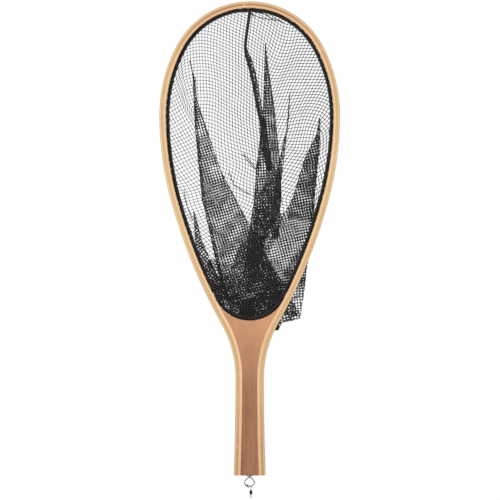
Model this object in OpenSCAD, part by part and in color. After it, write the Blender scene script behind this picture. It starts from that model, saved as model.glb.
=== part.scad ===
// Teardrop landing net: a bent-laminate hoop and handle, a black mesh bag laced to
// the hoop, and a lanyard ring with a barrel swivel on a screw eye in the butt.
//
// +Z runs up the handle to the tip of the hoop, the mouth faces -Y and the bag hangs
// behind at +Y. The origin is the middle of the butt's end face.

/* [Wooden frame] */
// Length of the wood from the butt to the tip of the hoop
frame_length = 600; // [590:5:610]
// Thickness of the wood from the mouth face to the bag face
frame_depth = 14; // [12:1:18]
// Radial thickness of the outer lamination
outer_ply = 2.7; // [2.5:0.1:3.2]
// Radial thickness of the dark middle lamination
middle_ply = 2.3; // [1.8:0.1:2.6]
// Radial thickness of the inner lamination
inner_ply = 3.4; // [2.8:0.1:3.6]
// Radius that eases the long edges of the wood
edge_radius = 1.8; // [1:0.1:2.2]
// Radius of the concave throat where the handle meets the bag
throat_radius = 47.6; // [44:0.2:50]
// Height of the lowest point of the throat above the butt
throat_height = 196; // [190:1:204]
// Radius of the butt's two corners
butt_corner = 2.2; // [1:0.1:2.6]

/* [Lacing] */
// Diameter of the holes that carry the lacing cord through the hoop
lacing_hole_d = 2.2; // [2:0.1:2.6]
// Width of the groove around the outside of the hoop
groove_width = 2.2; // [1.8:0.1:3]
// Depth of that groove
groove_depth = 1.5; // [1.3:0.1:1.8]
// Diameter of the lacing cord where it runs in the groove
lacing_cord_d = 1.2; // [1:0.1:1.4]
// Diameter of the cord loops that hold the hem
loop_cord_d = 0.9; // [0.7:0.1:1]
// Diameter of the hem cord round the mouth of the bag
hem_cord_d = 2.4; // [2:0.1:2.6]

/* [Bag] */
// Wall thickness that stands for the knotless mesh
bag_wall = 1.6; // [1.2:0.1:2.4]
// How far the hanging bag reaches behind the middle of the hoop
bag_reach = 50; // [40:1:60]
// Height of the lowest fold of the bag above the butt
bag_bottom = 183; // [180:1:188]
// Width of the seam down the middle of the bag
seam_width = 3; // [2:0.5:5]
// Length of the seam below the tip of the hoop
seam_length = 190; // [100:10:240]

/* [Butt hardware] */
// Wire diameter of the heart-shaped lanyard ring
ring_wire_d = 1.2; // [1:0.1:1.3]
// Wire diameter of the screw eye's loop
eye_wire_d = 1.1; // [1:0.1:1.3]
// Inner radius of the screw eye's loop
eye_hole_r = 1; // [1:0.05:1.1]
// Outer diameter of the washer under the screw eye
washer_d = 9; // [8:0.5:11]
// Diameter of the swivel's barrel
barrel_d = 3.8; // [3.4:0.1:4.4]

/* [Hidden] */
$fn = 256;

// Outer outline of one half of the frame from the tip to the butt, as arcs that run
// smoothly into each other: [radius, turn in degrees]. Where both are negative the
// outline bends outwards, at the waist and down the flared handle.
ARCS = [[104.41, 61.89], [188.6, 28.11], [409.8, 15.42], [696.7, 13.81],
    [-141.25, -29.23], [-3364, -2.2]];
HOOP = [0:3];
WHOLE = [0:5];
// Lacing holes on each arc of the hoop, and how many equal spaces they are set in
HOLES = [[5, 5], [4, 4], [5, 5], [5, 7]];

half_depth = frame_depth / 2;
wood = outer_ply + middle_ply + inner_ply;
running = 0.05;
glue_line = 0.06;
throat = [0, throat_height + throat_radius];

// Places along the outline
function heading(i) = i == 0 ? 0 : heading(i - 1) + ARCS[i - 1][1];
function along(h) = [sin(h), cos(h)];
function centre(i) = i == 0 ? [0, frame_length - ARCS[0][0]]
    : centre(i - 1) + (ARCS[i - 1][0] - ARCS[i][0]) * along(heading(i));
function outline_point(i, part, inset) =
    centre(i) + (ARCS[i][0] - inset) * along(heading(i) + part * ARCS[i][1]);
function half_outline(last, steps, inset) =
    [for (i = [0:last], k = [0:steps - 1]) outline_point(i, k / steps, inset)];
function mirrored(points) = [for (i = [len(points) - 1:-1:0]) [-points[i].x, points[i].y]];
// Turn of arc i, in hundredths of a degree, from its start to a point beside it
function turn_to(i, point) =
    let (p = point - centre(i)) round(100 * (atan2(p.x, p.y) - heading(i))) / 100;
// The lower of the two points on circle 1 that also lie on circle 2, right side
function meeting(c1, r1, c2, r2) =
    let (d = norm(c2 - c1), a = (d * d + r1 * r1 - r2 * r2) / (2 * d),
        h = sqrt(r1 * r1 - a * a), u = (c2 - c1) / d,
        p = c1 + a * u + h * [-u.y, u.x], q = c1 + a * u - h * [-u.y, u.x])
    p.y < q.y ? p : q;

// Moves in a coarse and a fine step, so that neighbouring arcs meet exactly
module shift(p) {
    coarse = [round(p.x * 100) / 100, round(p.y * 100) / 100];
    translate(coarse) translate(p - coarse) children();
}

// Sweeps a cross-section along an arc, or along the part of it that covers `turn`
// degrees after the first `skip`. The section's x is the inset from the outer face of
// the frame and its y is the height above the middle plane.
module bend(i, skip = 0, turn = undef) {
    r = ARCS[i][0];
    sweep = is_undef(turn) ? ARCS[i][1] : turn;
    first = heading(i) + skip;
    shift(centre(i))
        if (r > 0)
            rotate_extrude(angle = sweep, start = 90 - first - sweep)
                translate([r, 0]) mirror([1, 0]) children();
        else
            rotate_extrude(angle = -sweep, start = 270 - first)
                translate([-r, 0]) children();
}

module both_sides() {
    children();
    mirror([1, 0, 0]) children();
}

// Stands the flat plan of the frame upright, with the plan's top face to -Y
module upright() rotate([90, 0, 0]) children();

module strip(range) both_sides() for (i = range) bend(i) children();

// Puts its child at every lacing hole, with +Z pointing in from the outer face
module at_holes() {
    both_sides()
        for (i = HOOP, k = [0:HOLES[i][0] - 1]) {
            part = (k + 0.5) / HOLES[i][1];
            h = heading(i) + part * ARCS[i][1];
            translate(outline_point(i, part, 0)) rotate([0, 0, -h]) rotate([90, 0, 0]) children();
        }
}

// Everything above the butt's end face
module above_butt() {
    size = frame_length + 10;
    translate([-size / 2, 0, -frame_depth]) cube([size, size, 2 * frame_depth]);
}

module butt_corners() {
    x = outline_point(5, 1, 0).x;
    both_sides() translate([x - butt_corner, 0, -frame_depth])
        difference() {
            translate([0, -1, 0]) cube([butt_corner + 2, butt_corner + 1, 2 * frame_depth]);
            translate([0, butt_corner, 0]) cylinder(h = 2 * frame_depth, r = butt_corner);
        }
}

module lacing_holes() {
    at_holes() translate([0, 0, -1]) cylinder(h = wood + 2, d = lacing_hole_d, $fn = 72);
}

// Cross-section of a lamination between two insets, with its long edges eased on the
// outer side (1), the inner side (-1) or neither (0)
module ply_section(from, to, eased) {
    if (eased == 0) {
        whole_section(from, to);
    } else {
        x = eased > 0 ? from + edge_radius : to - edge_radius;
        translate([eased > 0 ? x : from, -half_depth])
            square([to - from - edge_radius, frame_depth]);
        translate([from, edge_radius - half_depth])
            square([to - from, frame_depth - 2 * edge_radius]);
        intersection() {
            whole_section(from, to);
            for (y = [-1, 1])
                translate([x, y * (half_depth - edge_radius)]) circle(edge_radius);
        }
    }
}

module whole_section(from, to) {
    translate([from, -half_depth]) square([to - from, frame_depth]);
}

// A lamination from the butt round the hoop and back. Its inner edges are only eased
// above the tips of the core.
module lamination(from, to, eased) {
    free_turn = turn_to(3, core_tip);
    leg_turn = ARCS[3][1] - free_turn;
    upright() difference() {
        intersection() {
            union() {
                strip([0:2]) ply_section(from, to, eased);
                both_sides() bend(3, 0, free_turn) ply_section(from, to, eased);
                both_sides() bend(3, free_turn, leg_turn) ply_section(from, to, max(eased, 0));
                strip([4, 5]) ply_section(from, to, max(eased, 0));
            }
            above_butt();
        }
        lacing_holes();
        children();
    }
}

module outer_lamination() {
    color("#d9be93") lamination(0, outer_ply - glue_line / 2, 1) {
        strip(HOOP) translate([-1, -groove_width / 2]) square([1 + groove_depth, groove_width]);
        butt_corners();
    }
}

module middle_lamination() {
    color("#a9764f")
        lamination(outer_ply + glue_line / 2, outer_ply + middle_ply - glue_line / 2, 0);
}

module inner_lamination() {
    color("#efc59c") lamination(outer_ply + middle_ply + glue_line / 2, wood, -1);
}

// Hardwood wedge that fills the space between the legs of the laminations, bored for
// the screw eye and with its two feather-edged tips blunted
shank_r = 1.1;
shank_length = 17;
eye_drop = 0.35;
eye_z = -(eye_hole_r + eye_drop);
eye_seat_r = eye_hole_r + eye_wire_d + 0.3;
eye_seat_depth = 1.2;
tip_blunting = 1;
core_tip = meeting(centre(3), ARCS[3][0] - wood, throat, throat_radius);
module handle_core() {
    color("#a0694a") upright() difference() {
        translate([0, 0, -half_depth]) linear_extrude(frame_depth) difference() {
            polygon(concat(core_side(), mirrored(core_side())));
            translate(throat) circle(throat_radius);
            translate([-100, core_tip.y - tip_blunting]) square(200);
        }
        strip(WHOLE) translate([-10, -frame_depth]) square([10 + wood, 2 * frame_depth]);
        rotate([-90, 0, 0]) cylinder(h = shank_length + 1, r = shank_r + running);
        rotate([-90, 0, 0]) translate([0, 0, -1])
            cylinder(h = 1 + eye_seat_depth, r = eye_seat_r);
    }
}

// Right-hand side of the core's blank, up the middle of the laminations, which are
// then cut away from it
function core_side() = concat([[outline_point(5, 1, wood / 2).x, 0]],
    [for (i = [5, 4], part = [0.9, 0.6, 0.3, 0]) outline_point(i, part, wood / 2)],
    [for (part = [0.9, 0.75, 0.6]) outline_point(3, part, wood / 2)]);

// Cord that gathers the top row of meshes and runs round the mouth of the bag. Its run
// across the throat is a little thinner and ends inside the two runs that come down the
// hoop.
hem_r = hem_cord_d / 2;
loop_gap = 0.15;
hem_inset = wood + loop_gap + loop_cord_d + running + hem_r;
hem_throat_gap = 0.3;
hem_thinning = 0.15;
hem_throat_r = throat_radius - hem_r - hem_throat_gap;
hem_corner = meeting(centre(3), ARCS[3][0] - hem_inset, throat, hem_throat_r);
module hem_cord() {
    past_corner = 0.05;
    turn = turn_to(3, hem_corner) + past_corner;
    reach = atan2(hem_corner.x, throat.y - hem_corner.y);
    color("#17160f") upright() {
        strip([0:2]) translate([hem_inset, 0]) circle(hem_r);
        both_sides() bend(3, 0, turn) translate([hem_inset, 0]) circle(hem_r);
        translate(throat) rotate_extrude(angle = 2 * reach, start = -90 - reach)
            translate([hem_throat_r, 0]) circle(hem_r - hem_thinning);
    }
}

// Cord in the groove round the outside of the hoop, which catches the hem's loops
groove_line = groove_depth - lacing_cord_d / 2 - running;
module lacing_cord() {
    color("#22211c") upright()
        strip(HOOP) translate([groove_line, 0]) circle(d = lacing_cord_d);
}

// Loops that hold the hem: each goes round it and out through a lacing hole as far as
// the cord in the groove
module hem_loops() {
    loop_r = hem_r + running + loop_cord_d / 2;
    start = groove_line + lacing_cord_d / 2 + running / 2;
    leg_d = loop_cord_d - 0.1;
    color("#22211c") upright() at_holes() {
        translate([0, 0, start])
            cylinder(h = hem_inset - loop_r - start, d = leg_d, $fn = 72);
        translate([0, 0, hem_inset]) rotate([0, 90, 0])
            rotate_extrude() translate([loop_r, 0]) circle(d = loop_cord_d, $fn = 72);
    }
}

// Mesh bag as it hangs: a shallow collar inside the hoop, then a pouch behind it that
// reaches below the throat, with its slack corner out to the right
collar_front = 2.5;
collar_gap = 0.7;
pouch_front = half_depth + 0.8;
pouch_edge = wood / 2 + 1;
joint_overlap = 0.5;
// Corners of the slack below the hoop, down the right and back up the left side: [x, height]
SLACK = [[74, 264], [66, 197], [38, bag_bottom]];
TUCK = [[-16, bag_bottom], [-44, 205]];
// Radius of the fold at the foot of the pouch, and how fast its back fills out
pouch_fold = 42;
pouch_fullness = 0.7;
fold_overlap = 0.1;
module collar_plan(inset) {
    side = half_outline(3, 12, wood + collar_gap + inset);
    intersection() {
        polygon(concat(side, mirrored(side)));
        union() {
            translate(throat) circle(throat_radius - collar_gap - inset);
            translate([-frame_length / 2, throat.y - throat_radius / 2]) square(frame_length);
        }
    }
}

module pouch_plan(inset) {
    side = [for (p = half_outline(3, 12, pouch_edge + inset)) if (p.y > throat.y) p];
    slack = [SLACK[0] - [inset, 0], SLACK[1] + [-inset, inset], SLACK[2] + [0, inset]];
    tuck = [TUCK[0] + [0, inset], TUCK[1] + [inset, 0]];
    polygon(concat(side, slack, tuck, mirrored(side)));
}

// Side view of the pouch: [height, reach behind the middle plane]
module pouch_profile(inset) {
    top = frame_length - wood - 2;
    shelf = pouch_front + 2 * bag_wall;
    back = [for (k = [0:20]) let (t = k / 20)
        [shelf + (bag_reach - shelf) * sin(90 * pow(t, pouch_fullness)) - inset,
            top - (top - bag_bottom - pouch_fold) * t]];
    fold = [for (k = [1:8]) let (a = 90 * k / 8)
        [pouch_front + (bag_reach - inset - pouch_front) * cos(a) - fold_overlap,
            bag_bottom + pouch_fold - (pouch_fold - inset) * sin(a)]];
    polygon(concat([[0, frame_length]], back, fold, [[0, bag_bottom + inset]]));
}

module pouch(inset, front) {
    intersection() {
        upright() translate([0, 0, -bag_reach - 1]) linear_extrude(bag_reach + 1 - front)
            pouch_plan(inset);
        pouch_slab(inset);
    }
}

// The pouch's side view drawn out across the whole width of the frame
module pouch_slab(inset) {
    rotate([90, 0, 90]) translate([0, 0, -frame_length / 2]) linear_extrude(frame_length)
        pouch_profile(inset);
}

module net_bag() {
    color("#26251f") difference() {
        union() {
            pouch(0, pouch_front);
            upright() translate([0, 0, -pouch_front - joint_overlap])
                linear_extrude(pouch_front + joint_overlap - collar_front) collar_plan(0);
        }
        pouch(bag_wall, pouch_front + bag_wall);
        upright() translate([0, 0, -pouch_front - bag_wall - joint_overlap])
            linear_extrude(pouch_front + bag_wall) collar_plan(bag_wall);
    }
}

// Whipped seam on the inside of the bag's back. It wanders to one side as the bag sags:
// seam_drift in all, after a bow of seam_bow the other way over its upper part.
seam_drift = 21;
seam_bow = 10;
seam_bow_share = 0.6;
seam_gap = 0.15;
seam_thickness = 1.2;
seam_start = 12;
function seam_x(t) = seam_drift * t - seam_bow * sin(180 * min(1, t / seam_bow_share));
module bag_seam() {
    top = frame_length - wood - seam_start;
    inner = bag_wall + seam_gap;
    left = [for (k = [0:16]) let (t = k / 16) [seam_x(t) - seam_width / 2, top - seam_length * t]];
    right = [for (k = [16:-1:0]) left[k] + [seam_width, 0]];
    color("#100f0c") intersection() {
        difference() {
            pouch_slab(inner);
            pouch_slab(inner + seam_thickness);
        }
        upright() translate([0, 0, -bag_reach]) linear_extrude(bag_reach - pouch_front - inner)
            polygon(concat(left, right));
    }
}

// Brass screw eye, with its loop half sunk in the butt and its hole along X
thread_start = 4;
thread_pitch = 1.4;
thread_width = 0.9;
thread_root_r = 0.7;
core_r = 0.75;
module screw_eye() {
    eye_r = eye_hole_r + eye_wire_d / 2;
    color("#8d7a58") {
        translate([0, 0, eye_z]) rotate([0, 90, 0]) rotate_extrude()
            translate([eye_r, 0]) circle(d = eye_wire_d, $fn = 96);
        translate([0, 0, eye_z + eye_r]) cylinder(h = shank_length, r = core_r);
        for (z = [thread_start:thread_pitch:shank_length - 2 * thread_pitch])
            translate([0, 0, z]) rotate_extrude()
                polygon([[0, 0], [thread_root_r, 0], [shank_r, thread_width / 2],
                    [thread_root_r, thread_width], [0, thread_width]]);
    }
}

// Dished washer that guards the end grain round the screw eye
washer_height = 1;
washer_rim = 0.45;
washer_bevel = 1.2;
module butt_washer() {
    color("#9a7c55") rotate_extrude()
        polygon([[eye_seat_r, -running], [washer_d / 2, -running], [washer_d / 2, -washer_rim],
            [washer_d / 2 - washer_bevel, -washer_height], [eye_seat_r, -washer_height]]);
}

// Heart-shaped ring bent from one wire, drawn flat from its apex as arcs that run
// smoothly into each other: [radius, turn], with both negative where it bends back
ring_z = eye_z - (eye_hole_r - ring_wire_d / 2 - running);
LEFT_WIRE = [[1.6, 40], [45, 7.9], [3.5, 84], [45, 8.4]];
RIGHT_WIRE = [[1.6, 42], [45, 7.64], [3.6, 82], [45, 4.8], [1.4, 92], [-1.8, -47.84], [-30, -1.4]];
VALLEY = 4;
function wire_heading(steps, i) = i == 0 ? 0 : wire_heading(steps, i - 1) + steps[i - 1][1];
function wire_centre(steps, i) = i == 0 ? [0, -steps[0][0]]
    : wire_centre(steps, i - 1)
        + (steps[i - 1][0] - steps[i][0]) * along(wire_heading(steps, i));

module wire(steps, d) {
    for (i = [0:len(steps) - 1]) {
        r = steps[i][0];
        turn = steps[i][1];
        h = wire_heading(steps, i);
        shift(wire_centre(steps, i))
            rotate_extrude(angle = abs(turn), start = r > 0 ? 90 - h - turn : 270 - h)
                translate([abs(r), 0]) circle(d = d, $fn = 96);
    }
}

module lanyard_ring() {
    color("#55554f") translate([0, 0, ring_z]) upright() {
        wire(RIGHT_WIRE, ring_wire_d);
        mirror([1, 0, 0]) wire(LEFT_WIRE, ring_wire_d);
    }
}

// Barrel swivel that hangs in the valley at the foot of the ring
swivel_hole_r = 1.15;
swivel_wire_d = 0.7;
stem_r = 0.5;
head_r = 1.1;
head_length = 0.6;
barrel_length = 5.8;
barrel_wall = 0.8;
barrel_roundness = 0.7;
neck_r = 0.95;
upper_stem = 2.2;
lower_stem = 0.6;
loop_r = swivel_hole_r + swivel_wire_d / 2;
valley = wire_centre(RIGHT_WIRE, VALLEY);
swivel_x = valley.x;
swivel_pivot_z = ring_z + valley.y - RIGHT_WIRE[VALLEY][0];
upper_loop_z = swivel_pivot_z - (swivel_hole_r - ring_wire_d / 2 - running);
barrel_top = upper_loop_z - loop_r - upper_stem;
barrel_low = barrel_top - barrel_length;
lower_loop_z = barrel_low - loop_r - lower_stem;

module swivel_eye(loop_z, head_z, spin) {
    translate([swivel_x, 0, 0]) {
        translate([0, 0, loop_z]) rotate([0, 0, spin]) rotate([0, 90, 0]) rotate_extrude()
            translate([loop_r, 0]) circle(d = swivel_wire_d, $fn = 96);
        from = loop_z > head_z ? head_z : loop_z + loop_r;
        to = loop_z > head_z ? loop_z - loop_r : head_z;
        translate([0, 0, from]) cylinder(h = to - from, r = stem_r);
        translate([0, 0, head_z - head_length / 2]) cylinder(h = head_length, r = head_r);
    }
}

module swivel_upper_eye() {
    color("#8b8a84")
        swivel_eye(upper_loop_z, barrel_top - barrel_wall - running - head_length / 2, 0);
}

module swivel_lower_eye() {
    color("#77766f")
        swivel_eye(lower_loop_z, barrel_low + barrel_wall + running + head_length / 2, 90);
}

function barrel_side() = [for (k = [0:14]) let (t = k / 14)
    [neck_r + (barrel_d / 2 - neck_r) * pow(sin(180 * t), barrel_roundness), barrel_length * t]];
module swivel_barrel() {
    color("#1d1a15") translate([swivel_x, 0, barrel_low]) difference() {
        rotate_extrude() polygon(concat([[0, 0]], barrel_side(), [[0, barrel_length]]));
        translate([0, 0, -1]) cylinder(h = barrel_length + 2, r = stem_r + running);
        translate([0, 0, barrel_wall])
            cylinder(h = barrel_length - 2 * barrel_wall, r = head_r + running);
    }
}

outer_lamination();
middle_lamination();
inner_lamination();
handle_core();
hem_cord();
lacing_cord();
hem_loops();
net_bag();
bag_seam();
screw_eye();
butt_washer();
lanyard_ring();
swivel_upper_eye();
swivel_barrel();
swivel_lower_eye();
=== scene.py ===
"""Looks of a wooden landing net: grained laminations, a knotless black mesh bag in folds, and worn small hardware."""

import math

import bpy
import numpy as np
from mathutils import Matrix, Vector


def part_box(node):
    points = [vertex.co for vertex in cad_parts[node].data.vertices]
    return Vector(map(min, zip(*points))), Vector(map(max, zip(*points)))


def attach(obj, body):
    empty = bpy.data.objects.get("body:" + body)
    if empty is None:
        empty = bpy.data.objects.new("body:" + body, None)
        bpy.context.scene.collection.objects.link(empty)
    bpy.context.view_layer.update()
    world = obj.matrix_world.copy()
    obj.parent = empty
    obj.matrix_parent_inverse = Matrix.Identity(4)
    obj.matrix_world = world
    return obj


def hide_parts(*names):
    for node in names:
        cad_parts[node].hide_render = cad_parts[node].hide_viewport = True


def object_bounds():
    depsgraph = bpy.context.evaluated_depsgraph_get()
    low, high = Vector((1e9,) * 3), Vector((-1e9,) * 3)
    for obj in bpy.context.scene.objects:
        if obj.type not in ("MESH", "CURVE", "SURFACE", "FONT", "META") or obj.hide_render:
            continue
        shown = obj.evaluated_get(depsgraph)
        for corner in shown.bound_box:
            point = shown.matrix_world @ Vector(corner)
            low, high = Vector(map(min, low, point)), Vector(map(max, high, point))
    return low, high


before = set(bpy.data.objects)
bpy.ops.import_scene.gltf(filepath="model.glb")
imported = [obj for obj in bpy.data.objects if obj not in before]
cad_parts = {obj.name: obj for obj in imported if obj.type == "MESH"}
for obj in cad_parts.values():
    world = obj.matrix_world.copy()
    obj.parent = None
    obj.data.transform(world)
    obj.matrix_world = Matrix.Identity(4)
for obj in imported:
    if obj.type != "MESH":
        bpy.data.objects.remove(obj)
cad_low, cad_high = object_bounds()
MM = 0.001

# ---------------------------------------------------------------- the hoop's outline, in millimetres

# The outer outline from the tip down the right side: radius and turn (degrees) of each arc.
ARCS = ((104.41, 61.89), (188.6, 28.11), (409.8, 15.42), (696.7, 13.81), (-141.25, -29.23), (-3364.0, -2.2))
TIP_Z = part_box("outer_lamination")[1].z / MM
PLY_EDGES = (2.7, 5.0, 8.4)  # how far inside the outline each lamination ends
WOOD_WIDTH = PLY_EDGES[-1]
HEM_INSET = 10.7  # how far inside the outline the middle of the hem cord lies
HEM_HALF = 2.3  # from the wood's inner edge to the middle of the hem cord
# The circle of the core's concave throat.
THROAT_CENTRE_Z = 243.6
THROAT_RADIUS = 47.6
BLOCK = 4000  # points measured at a time, to keep the distance tables small


def outline(step=1.0):
    """Points, outward normals and lengths along the right half of the outer outline."""
    points, normals, lengths = [], [], []
    heading, length = 0.0, 0.0
    centre = np.array([0.0, TIP_Z - ARCS[0][0]])
    for i, (radius, turn) in enumerate(ARCS):
        if i:
            normal = np.array([math.sin(heading), math.cos(heading)])
            centre = centre + (ARCS[i - 1][0] - radius) * normal
        sweep = abs(math.radians(turn) * radius)
        for along in np.arange(0.0, sweep, step):
            h = heading + math.radians(turn) * along / sweep
            normal = np.array([math.sin(h), math.cos(h)])
            points.append(centre + radius * normal)
            normals.append(normal)
            lengths.append(length + along)
        heading += math.radians(turn)
        length += sweep
    return np.array(points), np.array(normals), np.array(lengths)


OUTLINE, NORMALS, LENGTHS = outline()
CORE_TIP_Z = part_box("handle_core")[1].z / MM
HOOP_REACH = LENGTHS[OUTLINE[:, 1] > CORE_TIP_Z][-1] * MM  # metres from the tip to where the core begins


def strip_coordinates(x, z):
    """Length along the outline from the tip (negative on the left) and distance inside it, for points in mm."""
    along, inset = np.empty(len(x)), np.empty(len(x))
    for start in range(0, len(x), BLOCK):
        part = slice(start, start + BLOCK)
        px = np.abs(x[part])[:, None] - OUTLINE[None, :, 0]
        pz = z[part][:, None] - OUTLINE[None, :, 1]
        near = np.argmin(px * px + pz * pz, axis=1)
        rows = np.arange(len(near))
        dx, dz = px[rows, near], pz[rows, near]
        nx, nz = NORMALS[near, 0], NORMALS[near, 1]
        inset[part] = -(dx * nx + dz * nz)
        along[part] = (LENGTHS[near] + dx * nz - dz * nx) * np.where(x[part] < 0, -1, 1)
    return along, inset


def inside_curve(inset, lowest):
    """The right half of the curve at that inset, down to a height."""
    curve = OUTLINE - inset * NORMALS
    return curve[curve[:, 1] >= lowest]


def mirrored(curve):
    """A closed-at-the-tip curve made of the right half and its mirror image, from lower left to lower right."""
    left = curve[::-1] * np.array([-1.0, 1.0])
    return np.vstack([left[:-1], curve])


# ---------------------------------------------------------------- materials


def srgb(r, g, b):
    """A linear colour from 8-bit display values."""
    linear = [((c / 255 + 0.055) / 1.055) ** 2.4 if c > 10 else c / 255 / 12.92 for c in (r, g, b)]
    return (*linear, 1.0)


class Graph:
    """One material's node tree."""

    def __init__(self, name):
        self.material = bpy.data.materials.new(name)
        self.material.use_nodes = True
        self.tree = self.material.node_tree
        self.tree.nodes.clear()

    def add(self, kind, inputs=None, output=0, **settings):
        node = self.tree.nodes.new("ShaderNode" + kind)
        for key, value in settings.items():
            setattr(node, key, value)
        for key, value in (inputs or {}).items():
            if isinstance(value, bpy.types.NodeSocket):
                self.tree.links.new(value, node.inputs[key])
            else:
                node.inputs[key].default_value = value
        return node.outputs[output]

    def math(self, operation, a, b=0.0, clamp=False):
        return self.add("Math", {0: a, 1: b}, operation=operation, use_clamp=clamp)

    def scaled(self, vector, by):
        return self.add("VectorMath", {0: vector, 1: by}, operation="MULTIPLY")

    def noise(self, vector, detail=3.0, roughness=0.55):
        inputs = {"Vector": vector, "Scale": 1.0, "Detail": detail, "Roughness": roughness}
        return self.add("TexNoise", inputs)

    def fit(self, value, low, high, to_low=0.0, to_high=1.0):
        """The value's way from low to high, eased, as a value from to_low to to_high."""
        inputs = {0: value, 1: low, 2: high, 3: to_low, 4: to_high}
        return self.add("MapRange", inputs, interpolation_type="SMOOTHSTEP")

    def mix(self, share, a, b):
        return self.add("Mix", {0: share, 6: a, 7: b}, output=2, data_type="RGBA")

    def object_place(self):
        return self.add("TexCoord", output=3)

    def attribute(self, name):
        return self.add("Attribute", output=1, attribute_name=name)

    def split(self, vector, axis):
        return self.add("SeparateXYZ", {0: vector}, output="XYZ".index(axis))

    def bump(self, height, strength, distance):
        inputs = {"Height": height, "Strength": strength, "Distance": distance}
        return self.add("Bump", inputs)

    def finish(self, inputs):
        """Ends the tree in a principled shader and gives the material."""
        shader = self.add("BsdfPrincipled", inputs)
        output = self.tree.nodes.new("ShaderNodeOutputMaterial")
        self.tree.links.new(shader, output.inputs["Surface"])
        return self.material


def lamination_material(name, pale, deep, end_tint, node_places, seams):
    """Lacquered bamboo strip: fibres along the bend, a crosswise node now and then, darker glue lines.

    It reads the strip attribute (length from the tip, distance inside the outline, depth), in metres.
    """
    g = Graph(name)
    strip = g.attribute("strip")
    along = g.split(strip, "X")
    inset = g.split(strip, "Y")
    fibres = g.noise(g.scaled(strip, (14.0, 2400.0, 2400.0)), detail=4.0, roughness=0.65)
    streaks = g.noise(g.scaled(strip, (5.0, 520.0, 420.0)), detail=3.0)
    drift = g.noise(g.scaled(strip, (9.0, 25.0, 25.0)), detail=2.0)
    colour = g.mix(g.fit(streaks, 0.32, 0.68), deep, pale)
    colour = g.mix(g.math("MULTIPLY", g.fit(fibres, 0.52, 0.78), 0.38), colour, g.mix(0.5, deep, end_tint))
    reach = g.math("ABSOLUTE", along)
    near_tip = g.fit(reach, 0.03, 0.15, 1.0, 0.0)
    near_butt = g.fit(reach, 0.54, 0.66, 0.0, 0.8)
    ends = g.math("ADD", near_tip, near_butt, clamp=True)
    ends = g.math("MULTIPLY", ends, g.fit(drift, 0.2, 0.8, 0.65, 1.0))
    colour = g.mix(g.math("MULTIPLY", ends, 0.9), colour, end_tint)
    colour = g.mix(g.fit(drift, 0.35, 0.75, 0.0, 0.28), colour, deep)
    # A bamboo node is a thin pale band with a darker shoulder. Its line wanders a little across the strip.
    wander = g.math("MULTIPLY", g.noise(g.scaled(strip, (30.0, 300.0, 300.0))), 0.003)
    place = g.math("ADD", along, wander)
    from_node = g.math("ABSOLUTE", g.math("SUBTRACT", place, node_places[0] * MM))
    for node_place in node_places[1:]:
        other = g.math("ABSOLUTE", g.math("SUBTRACT", place, node_place * MM))
        from_node = g.math("MINIMUM", from_node, other)
    band = g.fit(from_node, 0.0003, 0.0014, 1.0, 0.0)
    shoulder = g.fit(from_node, 0.0014, 0.005, 1.0, 0.0)
    colour = g.mix(g.math("MULTIPLY", shoulder, 0.3), colour, srgb(214, 152, 116))
    colour = g.mix(g.math("MULTIPLY", band, 0.75), colour, srgb(240, 190, 160))
    for seam in seams:
        from_seam = g.math("ABSOLUTE", g.math("SUBTRACT", inset, seam * MM))
        line = g.fit(from_seam, 0.00005, 0.0003, 0.55, 0.0)
        colour = g.mix(line, colour, srgb(150, 104, 70))
    # Painted shade: the inner corner beside the black hem is painted dark brown.
    inner_edge_shade = g.math("MULTIPLY", g.fit(inset, 0.0072, 0.0084), g.fit(drift, 0.2, 0.7, 0.6, 0.85))
    inner_edge_shade = g.math("MULTIPLY", inner_edge_shade, g.fit(reach, HOOP_REACH - 0.02, HOOP_REACH, 1.0, 0.0))
    colour = g.mix(inner_edge_shade, colour, srgb(96, 72, 46))
    # Painted shade: the outer rounded corner is painted greyer and darker.
    wear_and_edge_shade = g.math("MULTIPLY", g.fit(inset, 0.0, 0.0009, 1.0, 0.0), g.fit(fibres, 0.3, 0.7, 0.2, 0.5))
    colour = g.mix(wear_and_edge_shade, colour, srgb(186, 164, 126))
    height = g.math("SUBTRACT", g.math("MULTIPLY", fibres, 0.5), g.math("MULTIPLY", band, 0.6))
    return g.finish(
        {
            "Base Color": colour,
            "Roughness": g.fit(streaks, 0.3, 0.7, 0.36, 0.52),
            "Coat Weight": 0.35,
            "Coat Roughness": 0.22,
            "Normal": g.bump(height, 0.35, 0.00035),
        }
    )


def core_material():
    """Reddish hardwood: long grain with darker pores, paler toward the throat."""
    g = Graph("core_wood")
    place = g.object_place()
    bend = g.noise(g.scaled(place, (20.0, 20.0, 5.0)), detail=1.0)
    shifted = g.add("VectorMath", {0: place, 1: g.scaled(bend, (0.006, 0.006, 0.0))}, operation="ADD")
    figure = g.noise(g.scaled(shifted, (190.0, 190.0, 11.0)), detail=3.0, roughness=0.6)
    pores = g.noise(g.scaled(shifted, (1500.0, 1500.0, 60.0)), detail=3.0, roughness=0.7)
    cloud = g.noise(g.scaled(place, (35.0, 35.0, 22.0)), detail=3.0)
    up = g.split(place, "Z")
    colour = g.mix(g.fit(figure, 0.3, 0.7), srgb(134, 83, 49), srgb(165, 110, 73))
    colour = g.mix(g.fit(up, 0.07, 0.2, 0.0, 0.95), colour, srgb(205, 149, 106))
    colour = g.mix(g.fit(cloud, 0.35, 0.75, 0.0, 0.5), colour, srgb(157, 104, 71))
    colour = g.mix(g.fit(pores, 0.56, 0.72, 0.0, 0.5), colour, srgb(118, 74, 50))
    return g.finish(
        {
            "Base Color": colour,
            "Roughness": g.fit(figure, 0.3, 0.7, 0.34, 0.5),
            "Coat Weight": 0.3,
            "Coat Roughness": 0.25,
            "Normal": g.bump(g.math("SUBTRACT", figure, pores), 0.25, 0.0003),
        }
    )


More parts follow.
